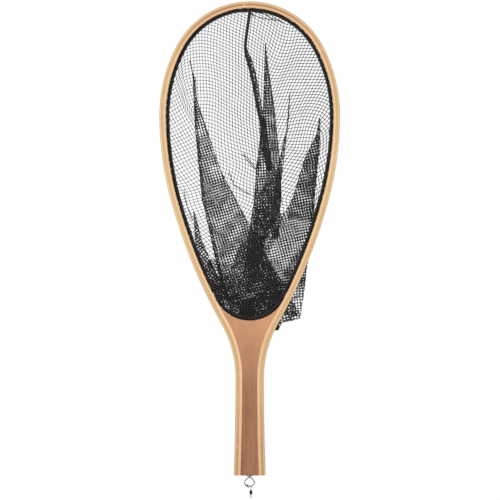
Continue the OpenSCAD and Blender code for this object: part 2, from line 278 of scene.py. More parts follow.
def twine_material(name, base, wear_and_edge_shade, sheen):
    """Black nylon twine: fine fuzzy fibre grain, a little sheen and paler wear."""
    g = Graph(name)
    place = g.object_place()
    grain = g.noise(g.scaled(place, (2600.0, 2600.0, 2600.0)), detail=2.0)
    patches = g.noise(g.scaled(place, (60.0, 60.0, 60.0)), detail=3.0)
    colour = g.mix(g.fit(patches, 0.35, 0.7), base, wear_and_edge_shade)
    colour = g.mix(g.fit(grain, 0.55, 0.8, 0.0, 0.4), colour, wear_and_edge_shade)
    return g.finish(
        {
            "Base Color": colour,
            "Roughness": g.fit(grain, 0.3, 0.7, 0.5, 0.7),
            "Sheen Weight": sheen,
            "Sheen Roughness": 0.5,
            "Normal": g.bump(grain, 0.5, 0.0001),
        }
    )


def braid_material(name, pitch, strands):
    """Braided cord: two crossing sets of strands wound round the cord, from the braid attribute (length, angle)."""
    g = Graph(name)
    braid = g.attribute("braid")
    along = g.math("MULTIPLY", g.split(braid, "X"), 2 * math.pi / (pitch * MM))
    round_ = g.math("MULTIPLY", g.split(braid, "Y"), strands)
    one = g.math("SINE", g.math("ADD", along, round_))
    other = g.math("SINE", g.math("SUBTRACT", along, round_))
    height = g.math("MAXIMUM", one, other)
    fuzz = g.noise(g.scaled(g.object_place(), (3000.0, 3000.0, 3000.0)), detail=2.0)
    # The strands' crowns are painted paler and the grooves between them darker: painted shade in the grooves.
    colour = g.mix(g.fit(height, -0.2, 0.9), srgb(6, 6, 5), srgb(26, 24, 21))
    colour = g.mix(g.fit(fuzz, 0.5, 0.8, 0.0, 0.35), colour, srgb(48, 44, 38))
    return g.finish(
        {
            "Base Color": colour,
            "Roughness": g.fit(fuzz, 0.3, 0.7, 0.55, 0.75),
            "Sheen Weight": 0.15,
            "Normal": g.bump(g.math("ADD", height, fuzz), 0.6, 0.00025),
        }
    )


def metal_material(name, bright, stain, metallic, smooth, stained):
    """Worn metal: brushed sheen with stained patches that are rougher and duller."""
    g = Graph(name)
    place = g.object_place()
    patches = g.noise(g.scaled(place, (420.0, 420.0, 420.0)), detail=4.0, roughness=0.65)
    scratches = g.noise(g.scaled(place, (900.0, 900.0, 5200.0)), detail=2.0)
    stain_share = g.fit(patches, 0.62 - stained * 0.35, 0.75 - stained * 0.25)
    colour = g.mix(stain_share, bright, stain)
    colour = g.mix(g.fit(scratches, 0.55, 0.75, 0.0, 0.3), colour, bright)
    return g.finish(
        {
            "Base Color": colour,
            "Metallic": g.math("SUBTRACT", metallic, g.math("MULTIPLY", stain_share, 0.35)),
            "Roughness": g.math("ADD", smooth, g.math("MULTIPLY", stain_share, 0.25)),
            "Normal": g.bump(g.math("ADD", scratches, patches), 0.3, 0.00008),
        }
    )


def stage_material():
    """The pale floor."""
    g = Graph("pale_floor")
    speckle = g.noise(g.scaled(g.object_place(), (8.0, 8.0, 8.0)))
    colour = g.mix(g.fit(speckle, 0.3, 0.7), srgb(243, 243, 243), srgb(247, 247, 247))
    return g.finish({"Base Color": colour, "Roughness": 0.9})


# ---------------------------------------------------------------- mesh helpers


def make_mesh(name, vertices, faces, body, slot, material):
    """A smooth-shaded piece from vertex positions in mm and faces of one size, riding on a body."""
    faces = np.asarray(faces)
    used = np.unique(faces)
    renumber = np.full(len(vertices), -1)
    renumber[used] = np.arange(len(used))
    faces = renumber[faces]
    mesh = bpy.data.meshes.new(name)
    mesh.vertices.add(len(used))
    mesh.vertices.foreach_set("co", (vertices[used] * MM).astype(np.float32).ravel())
    corners = faces.shape[1]
    mesh.loops.add(faces.size)
    mesh.loops.foreach_set("vertex_index", faces.ravel().astype(np.int32))
    mesh.polygons.add(len(faces))
    mesh.polygons.foreach_set("loop_start", np.arange(0, faces.size, corners, dtype=np.int32))
    mesh.polygons.foreach_set("use_smooth", np.full(len(faces), True))
    mesh.update(calc_edges=True)
    mesh.validate()
    mesh.materials.append(material)
    piece = bpy.data.objects.new(name, mesh)
    bpy.context.scene.collection.objects.link(piece)
    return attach(piece, body)


def unit(vectors):
    """Vectors scaled to length 1."""
    return vectors / np.maximum(np.linalg.norm(vectors, axis=-1, keepdims=True), 1e-9)


def swept(points, along, side, radii, keep, sides):
    """Vertices and quads of tubes along lines of points (lines, points, 3), with a quad ring for each kept step.

    along is each point's direction, and side is where the first corner of its ring lies.
    """
    count = points.shape[1]
    top = np.cross(side, along)
    angles = 2 * np.pi * np.arange(sides) / sides
    ring = np.cos(angles)[:, None] * side[:, :, None, :] + np.sin(angles)[:, None] * top[:, :, None, :]
    vertices = (points[:, :, None, :] + radii[:, :, None, None] * ring).reshape(-1, 3)
    line, step = np.nonzero(keep)
    base = ((line * count + step) * sides)[:, None]
    here = np.arange(sides)[None, :]
    after = (here + 1) % sides
    faces = np.stack([base + here, base + after, base + sides + after, base + sides + here], axis=-1)
    return vertices, faces.reshape(-1, 4)


def tubes(points, radii, keep, sides):
    """Tubes along lines that run mostly across the depth."""
    along = unit(np.gradient(points, axis=1))
    side = unit(np.cross(along, np.broadcast_to((0.0, 1.0, 0.0), points.shape)))
    return swept(points, along, side, radii, keep, sides)


def single_tube(path, radii, sides):
    """A tube along one line of points, with a radius for each point."""
    return tubes(path[None], radii[None], np.ones((1, len(path) - 1), bool), sides)


def joined(parts):
    """One vertex and face list from several."""
    vertices, faces, start = [], [], 0
    for v, f in parts:
        vertices.append(v)
        faces.append(f + start)
        start += len(v)
    return np.vstack(vertices), np.vstack(faces)


NOISE_WAVES = 7


def smooth_noise(x, z, length, seed):
    """A smooth random field, mostly in -1...1, with features about that many mm long."""
    draw = np.random.default_rng(seed)
    total = np.zeros_like(x)
    for _ in range(NOISE_WAVES):
        angle, phase = draw.uniform(0, 2 * np.pi, 2)
        wave = 2 * np.pi / (length * draw.uniform(0.7, 1.6))
        total += np.sin(wave * (x * np.cos(angle) + z * np.sin(angle)) + phase)
    return total / (NOISE_WAVES / 2)


def resampled(curve, step):
    """Points at an even step along a polyline, with its end."""
    lengths = np.r_[0, np.cumsum(np.linalg.norm(np.diff(curve, axis=0), axis=1))]
    places = np.linspace(0, lengths[-1], max(2, round(lengths[-1] / step) + 1))
    return np.stack([np.interp(places, lengths, curve[:, k]) for k in range(curve.shape[1])], axis=-1)


def rounded(points):
    """A polyline with its corners cut, its ends kept."""
    points = np.array(points, float)
    for _ in range(3):
        near, far = points[:-1], points[1:]
        cut = np.stack([0.75 * near + 0.25 * far, 0.25 * near + 0.75 * far], axis=1)
        points = np.vstack([points[:1], cut.reshape(-1, points.shape[1]), points[-1:]])
    return points


def distance_to(x, z, curve):
    """Distance from each place to the nearest of a curve's points."""
    shape, x, z = x.shape, x.ravel(), z.ravel()
    best = np.empty(len(x))
    for start in range(0, len(x), BLOCK):
        part = slice(start, start + BLOCK)
        dx = x[part, None] - curve[None, :, 0]
        dz = z[part, None] - curve[None, :, 1]
        best[part] = np.sqrt((dx * dx + dz * dz).min(axis=1))
    return best.reshape(shape)


def within(x, z, polygon):
    """True for points inside a closed polygon."""
    found = np.zeros(x.shape, bool)
    ends = np.roll(polygon, -1, axis=0)
    for (x0, z0), (x1, z1) in zip(polygon, ends):
        if z0 == z1:
            continue
        crosses = ((z0 > z) != (z1 > z)) & (x < (x1 - x0) * (z - z0) / (z1 - z0) + x0)
        found ^= crosses
    return found


# ---------------------------------------------------------------- the mesh bag, in millimetres

FIELD_STEP = 1.5
FIELD_X = np.arange(-132, 133, FIELD_STEP)
FIELD_Z = np.arange(168, 612, FIELD_STEP)


def field(curve, closed):
    """A function that gives the distance of points from a curve, negative inside a closed one, read off a grid."""
    x, z = np.meshgrid(FIELD_X, FIELD_Z, indexing="ij")
    values = distance_to(x, z, resampled(curve, 1.0))
    if closed:
        values = np.where(within(x, z, curve), -values, values)

    def at(x, z):
        i, j = (x - FIELD_X[0]) / FIELD_STEP, (z - FIELD_Z[0]) / FIELD_STEP
        i, j = np.clip(i, 0, len(FIELD_X) - 1.001), np.clip(j, 0, len(FIELD_Z) - 1.001)
        i0, j0 = i.astype(int), j.astype(int)
        s, t = i - i0, j - j0
        low = values[i0, j0] * (1 - s) + values[i0 + 1, j0] * s
        high = values[i0, j0 + 1] * (1 - s) + values[i0 + 1, j0 + 1] * s
        return low * (1 - t) + high * t

    return at


PITCH = 3.45  # from one thread of the square mesh to the next
THREAD_R = 0.3
KNOT_R = 0.44  # the threads swell where they cross
THREAD_SIDES = 5
THREAD_SWELL = 0.12  # how much heavier the threads look at the right than in the middle, as a share


class Pleat:
    """A fold that leaves three layers of net between two creases that start at a tip.

    Net on either side of the folded wedge turns toward it, so the sheet stays nearly its own size.
    """

    def __init__(self, tip, left, right, gap):
        self.tip = np.array(tip, float)
        self.left, self.right = np.array(left, float), np.array(right, float)
        self.gap = gap

    def polar(self, x, z):
        """Distance from the tip, and angle from straight down, positive to the right."""
        dx, dz = x - self.tip[0], self.tip[1] - z
        return np.hypot(dx, dz), np.arctan2(dx, dz)

    def edges(self, r):
        """Angles of the two creases at each distance from the tip."""
        angles = []
        for crease in (self.left, self.right):
            far, turn = self.polar(crease[:, 0], crease[:, 1])
            order = np.argsort(far)
            angles.append(np.interp(r, far[order], turn[order]))
        return angles

    def fold(self, x, z):
        """Folded places of the points, and how far each moves back.

        The unfolded net that goes into the fold is three wedges wide: the middle one lies reversed between the others.
        """
        r, turn = self.polar(x, z)
        left, right = self.edges(r)
        middle, wedge = (left + right) / 2, np.maximum(right - left, 1e-6)
        t = (turn - middle + np.pi) % (2 * np.pi) - np.pi
        outside = (np.abs(t) - 1.5 * wedge) / (np.pi - 1.5 * wedge)
        far = np.sign(t) * (0.5 * wedge + outside * (np.pi - 0.5 * wedge))
        inner = np.where(np.abs(t) < 0.5 * wedge, -t, t - np.sign(t) * wedge)
        folded = np.where(outside > 0, far, inner) + middle
        across = eased((t / wedge + 1.5) / 3) - 0.5
        fade = np.clip(1 - np.clip(outside, 0, 1) * 3, 0, 1)
        back = self.gap * across * fade * fade * np.clip(r / 70, 0, 1)
        return self.tip[0] + r * np.sin(folded), self.tip[1] - r * np.cos(folded), back

    def unfold(self, points):
        """Where points beside the wedge were before the fold; points over it count as the near layer."""
        r, turn = self.polar(points[:, 0], points[:, 1])
        left, right = self.edges(r)
        middle, wedge = (left + right) / 2, np.maximum(right - left, 1e-6)
        t = (turn - middle + np.pi) % (2 * np.pi) - np.pi
        outside = (np.abs(t) - 0.5 * wedge) / (np.pi - 0.5 * wedge)
        far = np.sign(t) * (1.5 * wedge + outside * (np.pi - 1.5 * wedge))
        side = -1 if np.mean(t) < 0 else 1
        t = np.where(outside > 0, far, t + side * wedge) + middle
        return np.stack([self.tip[0] + r * np.sin(t), self.tip[1] - r * np.cos(t)], axis=-1)

    def before(self, later):
        """This pleat as it lies before the later pleats are folded."""
        tip = self.tip[None, :]
        creases = [resampled(np.vstack([tip, crease]), 6.0)[1:] for crease in (self.left, self.right)]
        for pleat in reversed(later):
            tip, creases = pleat.unfold(tip), [pleat.unfold(crease) for crease in creases]
        return Pleat(tip[0], *creases, self.gap)


# Each pleat: its tip, points down its left crease, points down its right crease, and how deep its layers lie.
PLEATS = [
    Pleat((-71, 335), ((-69, 300), (-67, 280), (-62, 230)), ((-66, 318), (-61, 298), (-45.5, 262), (-24, 220)), 5),
    Pleat(
        (88.5, 452),
        ((84, 430), (70, 402), (54, 349), (26, 299), (-8, 230)),
        ((88, 430), (86.4, 400), (82.6, 362), (80, 320), (78, 240)),
        9,
    ),
    Pleat(
        (-76, 526),
        ((-72, 506), (-69, 440), (-60, 351), (-37, 247), (-26, 215)),
        ((-71, 506), (-66.6, 474), (-57, 445), (-37, 386), (2, 312), (40, 240)),
        9,
    ),
    Pleat((51, 485), ((47, 440), (37, 395), (31, 360), (28, 300)), ((49, 450), (43.4, 404), (39.5, 372), (36, 300)), 4),
    Pleat(
        (19.8, 547),
        ((19, 525), (17, 458), (9, 391), (5.3, 345), (0, 312), (-8, 250)),
        ((22.5, 522), (31, 465), (39, 386), (40, 347), (22, 306), (8, 250)),
        9,
    ),
]
FOLDS = [pleat.before(PLEATS[i + 1 :]) for i, pleat in enumerate(PLEATS)]

SHEET_TURN = -10  # degrees that the unfolded net lies turned
SHEET_CENTRE_Z = 420  # the height that it turns about
# Slope of the net's rows across the sheet: place and rise per mm of width. Low in the sheet the slopes are less.
ROW_SLOPES = ((-130, 0.1), (-85, 0.1), (-60, -0.42), (0, -0.42), (22, 0.6), (70, 0.35), (100, 0.05), (135, -0.6))
LOW_SLOPE = 0.4  # the share of the slopes that is left there
SLOPE_START, SLOPE_LENGTH = 320, 150  # the height from which they grow to the full slopes, and over what length


def throat_arc(radius, half_angle):
    """Points along the concave throat from right to left."""
    angles = np.radians(np.linspace(half_angle, -half_angle, 25))
    return np.stack([radius * np.sin(angles), THROAT_CENTRE_Z - radius * np.cos(angles)], axis=-1)


RIM = mirrored(inside_curve(HEM_INSET, 236.0))
MOUTH = mirrored(inside_curve(HEM_INSET, 225.0))
THROAT_HEM = throat_arc(THROAT_RADIUS - HEM_HALF, 74)
OPENING = np.vstack([RIM, THROAT_HEM])  # the mouth, along the hem
BAG_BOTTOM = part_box("net_bag")[0].z / MM
BOTTOM_CURVE = 45  # height of the bag's rounded bottom
# The bag's depth near the hoop's top, how much it gains lower down, and the height where that starts and its length.
BELLY_TOP, BELLY_GAIN = 16, 20
BELLY_START, BELLY_LENGTH = 560, 300
HEM_BACK = 1.5  # how far behind the wood's middle plane the net leaves the hem
WOOD_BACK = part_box("handle_core")[1].y / MM + 1.6  # the nearest that net may hang behind the wood
# The bag's outline below the legs, where it hangs behind the wood, and beside the right leg.
SLACK = ((-46, 224), (-38, 205), (-27, 190), (-10, 186), (36, 184), (41, 193), (64, 198), (70, 240), (72, 262))
SLACK += ((75, 277),)

from_rim = field(RIM, closed=False)
from_opening = field(OPENING, closed=True)
from_outline = field(np.vstack([MOUTH, np.array(SLACK)[::-1]]), closed=True)


def eased(t):
    """A smooth step from 0 to 1."""
    t = np.clip(t, 0, 1)
    return t * t * (3 - 2 * t)


def row_rise(u):
    """Height that the sloping rows gain from the middle of the sheet to u."""
    places, slopes = np.array(ROW_SLOPES).T
    fine = np.arange(-260, 260, 1.0)
    rise = np.cumsum(np.interp(fine, places, slopes))
    return np.interp(u, fine, rise - np.interp(0, fine, rise))


def bag_depth(x, z):
    """How far the back of the bag hangs behind the hem. Its bottom curves forward to the back of the handle."""
    belly = BELLY_TOP + BELLY_GAIN * np.clip((BELLY_START - z) / BELLY_LENGTH, 0, 1)
    up = np.clip((z - BAG_BOTTOM) / BOTTOM_CURVE, 0, 1)
    belly = WOOD_BACK + (belly - WOOD_BACK) * np.sqrt(1 - (1 - up) ** 2)
    hold = 1 - np.exp(-from_rim(x, z) / 11)
    return belly * hold


def behind_wood(x, y, z):
    """Depths moved back to clear the wood, for the net that passes behind the legs and the handle."""
    beyond = np.maximum(from_opening(x, z), 0)
    return np.maximum(y, np.minimum(WOOD_BACK, HEM_BACK + 3 * beyond) * (beyond > 0))


def drape(u, v):
    """Where the sheet's point (u, v) lies in the folded, hanging bag."""
    slope = LOW_SLOPE + (1 - LOW_SLOPE) * eased((v - SLOPE_START) / SLOPE_LENGTH)
    x, up = u, v + row_rise(u) * slope - SHEET_CENTRE_Z
    turn = math.radians(SHEET_TURN)
    x, up = x * math.cos(turn) - up * math.sin(turn), x * math.sin(turn) + up * math.cos(turn)
    z = SHEET_CENTRE_Z + up
    back = np.zeros_like(x)
    for pleat in FOLDS:
        x, z, moved = pleat.fold(x, z)
        back += moved
    x = x + 0.5 * smooth_noise(u, v, 34, 3)
    z = z + 0.5 * smooth_noise(u, v, 34, 4)
    hold = 1 - np.exp(-from_rim(x, z) / 16)
    y = HEM_BACK + bag_depth(x, z) + (back + 1.6 * smooth_noise(u, v, 46, 5)) * hold
    return np.stack([x, behind_wood(x, y, z), z], axis=-1)


def trim(points, kept, inside):
    """Moves the first point of a thread outside the patch back to the patch's edge, by halving the last step."""
    for step in (1, -1):
        line, here = np.nonzero(kept & ~np.roll(kept, -step, axis=1))
        beyond = here + step
        fits = (beyond >= 0) & (beyond < kept.shape[1])
        line, here, beyond = line[fits], here[fits], beyond[fits]
        start, end = points[line, here], points[line, beyond]
        near, far = np.zeros(len(line)), np.ones(len(line))
        for _ in range(5):
            half = (near + far) / 2
            at = start + half[:, None] * (end - start)
            good = inside(at[:, 0], at[:, 2])
            near, far = np.where(good, half, near), np.where(good, far, half)
        points[line, beyond] = start + far[:, None] * (end - start)


def net_lines(place, low, high, inside, thick=1.0):
    """Row and column threads of a net patch: place maps (u, v) to a point, inside says which points to keep."""
    families = []
    for axis in (0, 1):
        lines = np.arange(math.ceil(low[1 - axis] / PITCH), math.floor(high[1 - axis] / PITCH) + 1) * PITCH
        half_steps = np.arange(math.ceil(2 * low[axis] / PITCH), math.floor(2 * high[axis] / PITCH) + 1)
        along = half_steps * PITCH / 2
        across_grid, along_grid = np.meshgrid(lines, along, indexing="ij")
        u, v = (along_grid, across_grid) if axis == 0 else (across_grid, along_grid)
        points = place(u, v)
        kept = inside(points[..., 0], points[..., 2])
        trim(points, kept, inside)
        swell = np.where(half_steps % 2 == 0, KNOT_R, THREAD_R) * thick
        radii = np.broadcast_to(swell, kept.shape) * (1 + 0.1 * smooth_noise(u, v, 9, 6 + axis))
        radii = radii * (1 + THREAD_SWELL * np.clip(points[..., 0] / 60, -1, 1))
        families.append(tubes(points, radii, kept[:, 1:] | kept[:, :-1], THREAD_SIDES))
    return families


def bag_inside(x, z):
    """True for points inside the bag's outline."""
    return from_outline(x, z) < 0


def edge_thread(curve, depth, radius):
    """A thread along a fold or an edge, over the part of a polyline of (x, z) points that lies inside the bag."""
    flat = resampled(curve, 2.0)
    points = np.stack([flat[:, 0], depth(flat[:, 0], flat[:, 1]), flat[:, 1]], axis=-1)[None]
    swell = radius * (1 + 0.2 * smooth_noise(flat[:, 0], flat[:, 1], 8, 77))[None]
    kept = bag_inside(flat[:, 0], flat[:, 1])
    return tubes(points, swell, (kept[1:] & kept[:-1])[None], THREAD_SIDES)


def flat_patch(corners, turn, depth, thick=1.0):
    """A smaller layer of the same net, turned by an angle, inside a polygon, at a depth that a function gives."""
    polygon = np.array(corners, float)
    centre = polygon.mean(axis=0)
    reach = np.abs(polygon - centre).max() * 1.5
    c, s = math.cos(math.radians(turn)), math.sin(math.radians(turn))

    def place(u, v):
        x, z = centre[0] + u * c - v * s, centre[1] + u * s + v * c
        x = x + 0.7 * smooth_noise(u, v, 28, 111 + int(turn))
        z = z + 0.7 * smooth_noise(u, v, 28, 231 + int(turn))
        y = depth(x, z) + 0.8 * smooth_noise(u, v, 30, 351 + int(turn))
        return np.stack([x, behind_wood(x, y, z), z], axis=-1)

    def inside(x, z):
        return within(x, z, polygon) & bag_inside(x, z)

    return joined(net_lines(place, (-reach, -reach), (reach, reach), inside, thick))


FLAP_LOW, FLAP_HEIGHT = 215, 80  # the height where the flap starts to lean back, and over what length


def flap_depth(front, back):
    """Depth of a flap layer: it starts at the throat's hem and settles back, from the one depth to the other."""

    def depth(x, z):
        settle = 1 - np.exp(-distance_to(x, z, THROAT_HEM) / 7)
        high = np.clip((z - FLAP_LOW) / FLAP_HEIGHT, 0, 1)
        return 2 + (front + (back - front) * high) * settle

    return depth


def behind(offset):
    """Depth of a layer that lies that far behind the sheet."""
    return lambda x, z: HEM_BACK + bag_depth(x, z) + offset


def outline_of(pleat):
    """The pleat's outline as a polygon."""
    return np.vstack([pleat.tip, pleat.left, pleat.right[::-1]])


net_material = twine_material("net_twine", srgb(16, 15, 14), srgb(34, 32, 30), 0.08)
PLEAT_OUTLINES = [outline_of(pleat) for pleat in PLEATS]


def single_layer(x, z):
    """The part of the bag that isn't inside a pleat."""
    kept = bag_inside(x, z)
    for polygon in PLEAT_OUTLINES:
        kept &= ~within(x, z, polygon)
    return kept


rows, columns = net_lines(drape, (-250, 60), (250, 760), single_layer)
net_rows = make_mesh("net_rows", *rows, "frame", "black_mesh", net_material)
net_columns = make_mesh("net_columns", *columns, "frame", "black_mesh", net_material)
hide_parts("net_bag")

# Darker places: bunched net in the middle pleat from its upper left down to its foot, its foot, the net beside the
# foot, the upper part of the right pleat, and the bag low on the left.
BUNCH = ((12, 470), (19, 445), (20, 413), (32, 389), (39, 373), (39.5, 340), (24, 300), (2, 300), (7, 345))
BUNCH += ((21, 372), (21, 389), (13, 413))
FOOT = ((4, 332), (39, 348), (37, 326), (21, 309), (18, 288), (11, 286), (8, 306))
BESIDE_FOOT = ((20, 312), (37, 330), (44, 335), (34, 300), (22, 275), (10, 282))
UPPER_RIGHT = ((88.5, 452), (84, 430), (70, 402), (57, 358), (47, 325), (80, 321), (86.4, 400))
LOW_LEFT = ((-52, 271), (-45, 275), (-36, 262), (-20, 240), (-10, 215), (-40, 215), (-58, 245))


def band_beside(crease, width):
    """A narrow polygon along a crease."""
    crease = np.array(crease, float)
    return np.vstack([crease, (crease + (width, 0.0))[::-1]])


PLEAT_TURNS = (38, 12, 17, 8, 4)  # how the layers of each pleat are turned
RIGHT_PLEAT = 1
LAYER_THICK = 1.3  # how much heavier the threads of a folded layer look


def pleat_parts(number):
    """A pleat's three layers of net and its two creases. The right pleat's far layer covers only its upper part."""
    pleat, near, turn = PLEATS[number], PLEAT_OUTLINES[number], PLEAT_TURNS[number]
    far = UPPER_RIGHT if number == RIGHT_PLEAT else near
    layers = ((near, turn + 3, -2.5), (near, turn, 0.5), (far, turn - 4, 3.5))
    parts = [flat_patch(polygon, angle, behind(offset), LAYER_THICK) for polygon, angle, offset in layers]
    for crease, offset in ((pleat.left, -2), (pleat.right, 2)):
        parts.append(edge_thread(np.vstack([pleat.tip, crease]), behind(offset), 0.5))
    return parts


for name, numbers in (("net_pleats_left", (0, 2)), ("net_pleats_right", (1, 3, 4))):
    parts = [part for number in numbers for part in pleat_parts(number)]
    make_mesh(name, *joined(parts), "frame", "black_mesh", net_material)

# The layers gathered in the darker places: outline, how the layer is turned, how far behind the sheet it lies and
# how thick its thread looks.
BUNCHES = (
    (PLEAT_OUTLINES[0], -28, 2, LAYER_THICK),
    (BUNCH, -35, -3, LAYER_THICK),
    (BUNCH, 26, 1, LAYER_THICK),
    (FOOT, -20, 2, LAYER_THICK),
    (FOOT, 31, -2, LAYER_THICK),
    (LOW_LEFT, -24, 1, LAYER_THICK),
    (LOW_LEFT, 30, -2, LAYER_THICK),
    (band_beside(PLEATS[2].left, 3.5), 30, -1, 1.6),
    (band_beside(PLEATS[2].left, 3.5), -15, 1, 1.6),
    (band_beside(PLEATS[4].left[:4], 3.5), 25, -1, 1.6),
    (band_beside(PLEATS[RIGHT_PLEAT].right, -3.5), 25, -1, 1.6),
    (BESIDE_FOOT, 6, 0, 1.0),
    (BESIDE_FOOT, 14, 2, 1.0),
)
gathers = [flat_patch(corners, turn, behind(offset), thick) for corners, turn, offset, thick in BUNCHES]

# Creases that fan out from the top of the seam, under the hem: each line's points.
FAN = (
    ((2, 585), (11, 580), (22, 577.5), (35, 575.5)),
    ((0, 588), (5, 586.5), (10, 586), (16, 584.5), (24, 582)),
    ((0, 588), (-4, 586.5), (-9, 586)),
    ((1, 587), (3, 583), (7, 579)),
    ((18, 584), (27, 579), (36, 577), (44, 572)),
)
# Faint creases in the open parts of the net.
CREASES = (
    ((-9.6, 406.5), (-2, 397.5), (8, 386.5)),
    ((-7.6, 407.5), (0, 398.5), (8, 388.5)),
    ((-26, 384), (-23, 375), (-19.5, 366.7), (-10, 361.5), (5, 353)),
    ((-83.5, 362), (-81.4, 351.8), (-79.2, 341.3), (-75.5, 330.7), (-72, 322)),
)
for lines, radius in ((FAN, 0.6), (CREASES, 0.55)):
    gathers += [edge_thread(np.array(line, float), behind(0), radius) for line in lines]
make_mesh("net_gathers", *joined(gathers), "frame", "black_mesh", net_material)

# The flap that folds up from the throat: down its left edge, and up its right edge.
FLAP_TOP = ((6, 306), (-14, 288), (-24, 258), (-36, 246), (-42, 232))
FLAP_RIGHT = ((44, 232), (47, 238), (35, 254), (24, 274), (14, 290))
flap_outline = np.vstack([np.array(FLAP_TOP), THROAT_HEM[::-1], np.array(FLAP_RIGHT)])
flap_fold = np.vstack([np.array(FLAP_TOP)[::-1], np.array(FLAP_RIGHT)[::-1]])
flap_layers = []
for i, turn in enumerate((12, -28, 52)):
    depth = flap_depth(7 + 4 * i, 12 + 3 * i)
    flap_layers.append(flat_patch(flap_outline, turn, depth))
    flap_layers.append(edge_thread(flap_fold, depth, 0.45))
make_mesh("net_flap", *joined(flap_layers), "frame", "black_mesh", net_material)

# The loose fold of the bag that shows beside the right leg, and a tuck in it.
TAIL = np.array(((67, 292), (75, 275), (65, 199), (41, 194), (36, 183), (14, 190), (30, 240)), float)
TUCK = np.array(((52, 226), (58, 214), (64, 201), (42, 203), (30, 190), (36, 215)), float)


def tail_depth(offset):
    """Depth of the loose fold that shows beside the right leg."""
    return lambda x, z: WOOD_BACK + 4 + offset + 8 * eased((z - BAG_BOTTOM) / 80)


tail_layers = [
    flat_patch(TAIL, 5, tail_depth(2), 1.5),
    flat_patch(band_beside(TAIL[:3], -2.5), 24, tail_depth(2), 1.2),
    flat_patch(TUCK, -14, tail_depth(1), 1.5),
    flat_patch(TUCK, 36, tail_depth(3), 1.5),
    edge_thread(TAIL[:3], tail_depth(2), 0.45),
    edge_thread(TAIL[2:6], tail_depth(2), 0.35),
]
make_mesh("net_tail", *joined(tail_layers), "frame", "black_mesh", net_material)

# ---------------------------------------------------------------- hem, seam and cords

COIL_STEPS = 12  # points in each turn of a coil


def coil(curve, radius, pitch, thread, phase):
    """A thread wound round a curve of 3-D points."""
    path = resampled(curve, pitch / COIL_STEPS)
    along = unit(np.gradient(path, axis=0))
    across = unit(np.cross(along, (0.0, 1.0, 0.0)))
    other = np.cross(across, along)
    angle = 2 * np.pi * np.arange(len(path)) / COIL_STEPS + phase
    out = np.cos(angle)[:, None] * across + np.sin(angle)[:, None] * other
    points = (path + radius * out)[None]
    wound = unit(np.gradient(points, axis=1))
    radii, keep = np.full((1, len(path)), thread), np.ones((1, len(path) - 1), bool)
    return swept(points, wound, out[None], radii, keep, THREAD_SIDES)


hem_curve = np.vstack([mirrored(inside_curve(HEM_INSET, 231.0)), throat_arc(THROAT_RADIUS - HEM_HALF, 72)])
hem_path = np.insert(hem_curve, 1, 0.0, axis=1)
hem_parts = [coil(hem_path, 1.75, PITCH, 0.5, phase) for phase in (0.0, np.pi)]
# The net's selvedge lies gathered along the cord, on the wood's side and on the net's side: how far inside the
# outline each thread lies, how far back, and its seed.
for inset, lean, seed in ((9.0, -0.3, 1), (9.5, 1.2, 2), (12.1, -0.3, 3), (12.5, 1.0, 4)):
    legs = mirrored(inside_curve(inset, 232.5))
    edge = resampled(np.vstack([legs, throat_arc(THROAT_RADIUS + WOOD_WIDTH - inset, 74), legs[:1]]), 1.2)
    waver = 0.3 * smooth_noise(edge[:, 0], edge[:, 1], 6, 400 + seed)
    path = np.stack([edge[:, 0] + waver, lean + waver, edge[:, 1] + waver], axis=-1)
    hem_parts.append(single_tube(path, np.full(len(path), 0.55), 6))
make_mesh("hem_wrap", *joined(hem_parts), "frame", "black_cord", net_material)

# The whipped seam, from the middle of the hoop's top down into the middle pleat.
SEAM = ((0.4, 588), (-1.8, 573), (-4.2, 557), (-5.6, 545), (-5.4, 537), (-3.4, 528), (2, 510), (6.4, 487))
SEAM += ((10.5, 462), (16.3, 440), (19, 412), (24, 386))
SEAM_BAND = 5.0  # width of the folded allowance beside the lower part of the seam
SEAM_BAND_TOP = 545  # where the allowance starts


def seam_depth(offset):
    """Depth of a layer of the seam, offset from its thread. The seam lies in front of the net."""
    return lambda x, z: bag_depth(x, z) - 2 + offset


seam_flat = resampled(rounded(SEAM), 1.0)
seam_path = np.insert(seam_flat, 1, seam_depth(0)(seam_flat[:, 0], seam_flat[:, 1]), axis=1)
seam_parts = [coil(seam_path, 1.6, 2.8, 0.6, phase) for phase in (0.0, np.pi)]
seam_parts.append(edge_thread(seam_flat, seam_depth(0), 1.5))
lower_seam = seam_flat[seam_flat[:, 1] < SEAM_BAND_TOP]
seam_far = lower_seam + np.array([SEAM_BAND, 0.0]) * np.clip((SEAM_BAND_TOP - lower_seam[:, 1:]) / 18, 0, 1)
band = np.vstack([lower_seam, seam_far[::-1]])
for turn, offset in ((-12, -1.5), (30, 0.5), (8, 2.0)):
    seam_parts.append(flat_patch(band, turn, seam_depth(offset), 1.4))
seam_parts.append(edge_thread(seam_far, seam_depth(0), 0.7))
seam_piece = make_mesh("seam_whipping", *joined(seam_parts), "frame", "black_cord", net_material)
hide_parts("bag_seam")

# ---------------------------------------------------------------- glue lines

GLUE_HALF = 0.05  # half the width of the glue line
GLUE_SUNK = 0.04  # how far its face lies below the wood's


def glue_line(inset):
    """A thin strip of glue between two laminations, round the whole frame."""
    path = resampled(mirrored(inside_curve(inset, 0.3)), 1.0)
    along = unit(np.gradient(path, axis=0))
    out = np.stack([-along[:, 1], along[:, 0]], axis=-1) * GLUE_HALF
    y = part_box("middle_lamination")[1].y / MM - GLUE_SUNK
    corners = [(path + out, -y), (path + out, y), (path - out, y), (path - out, -y)]
    vertices = np.stack([np.insert(side, 1, depth, axis=1) for side, depth in corners], axis=1).reshape(-1, 3)
    base = 4 * np.arange(len(path) - 1)[:, None]
    here, after = np.arange(4)[None, :], np.arange(1, 5)[None, :] % 4
    faces = np.stack([base + here, base + after, base + 4 + after, base + 4 + here], axis=-1)
    return vertices, faces.reshape(-1, 4)


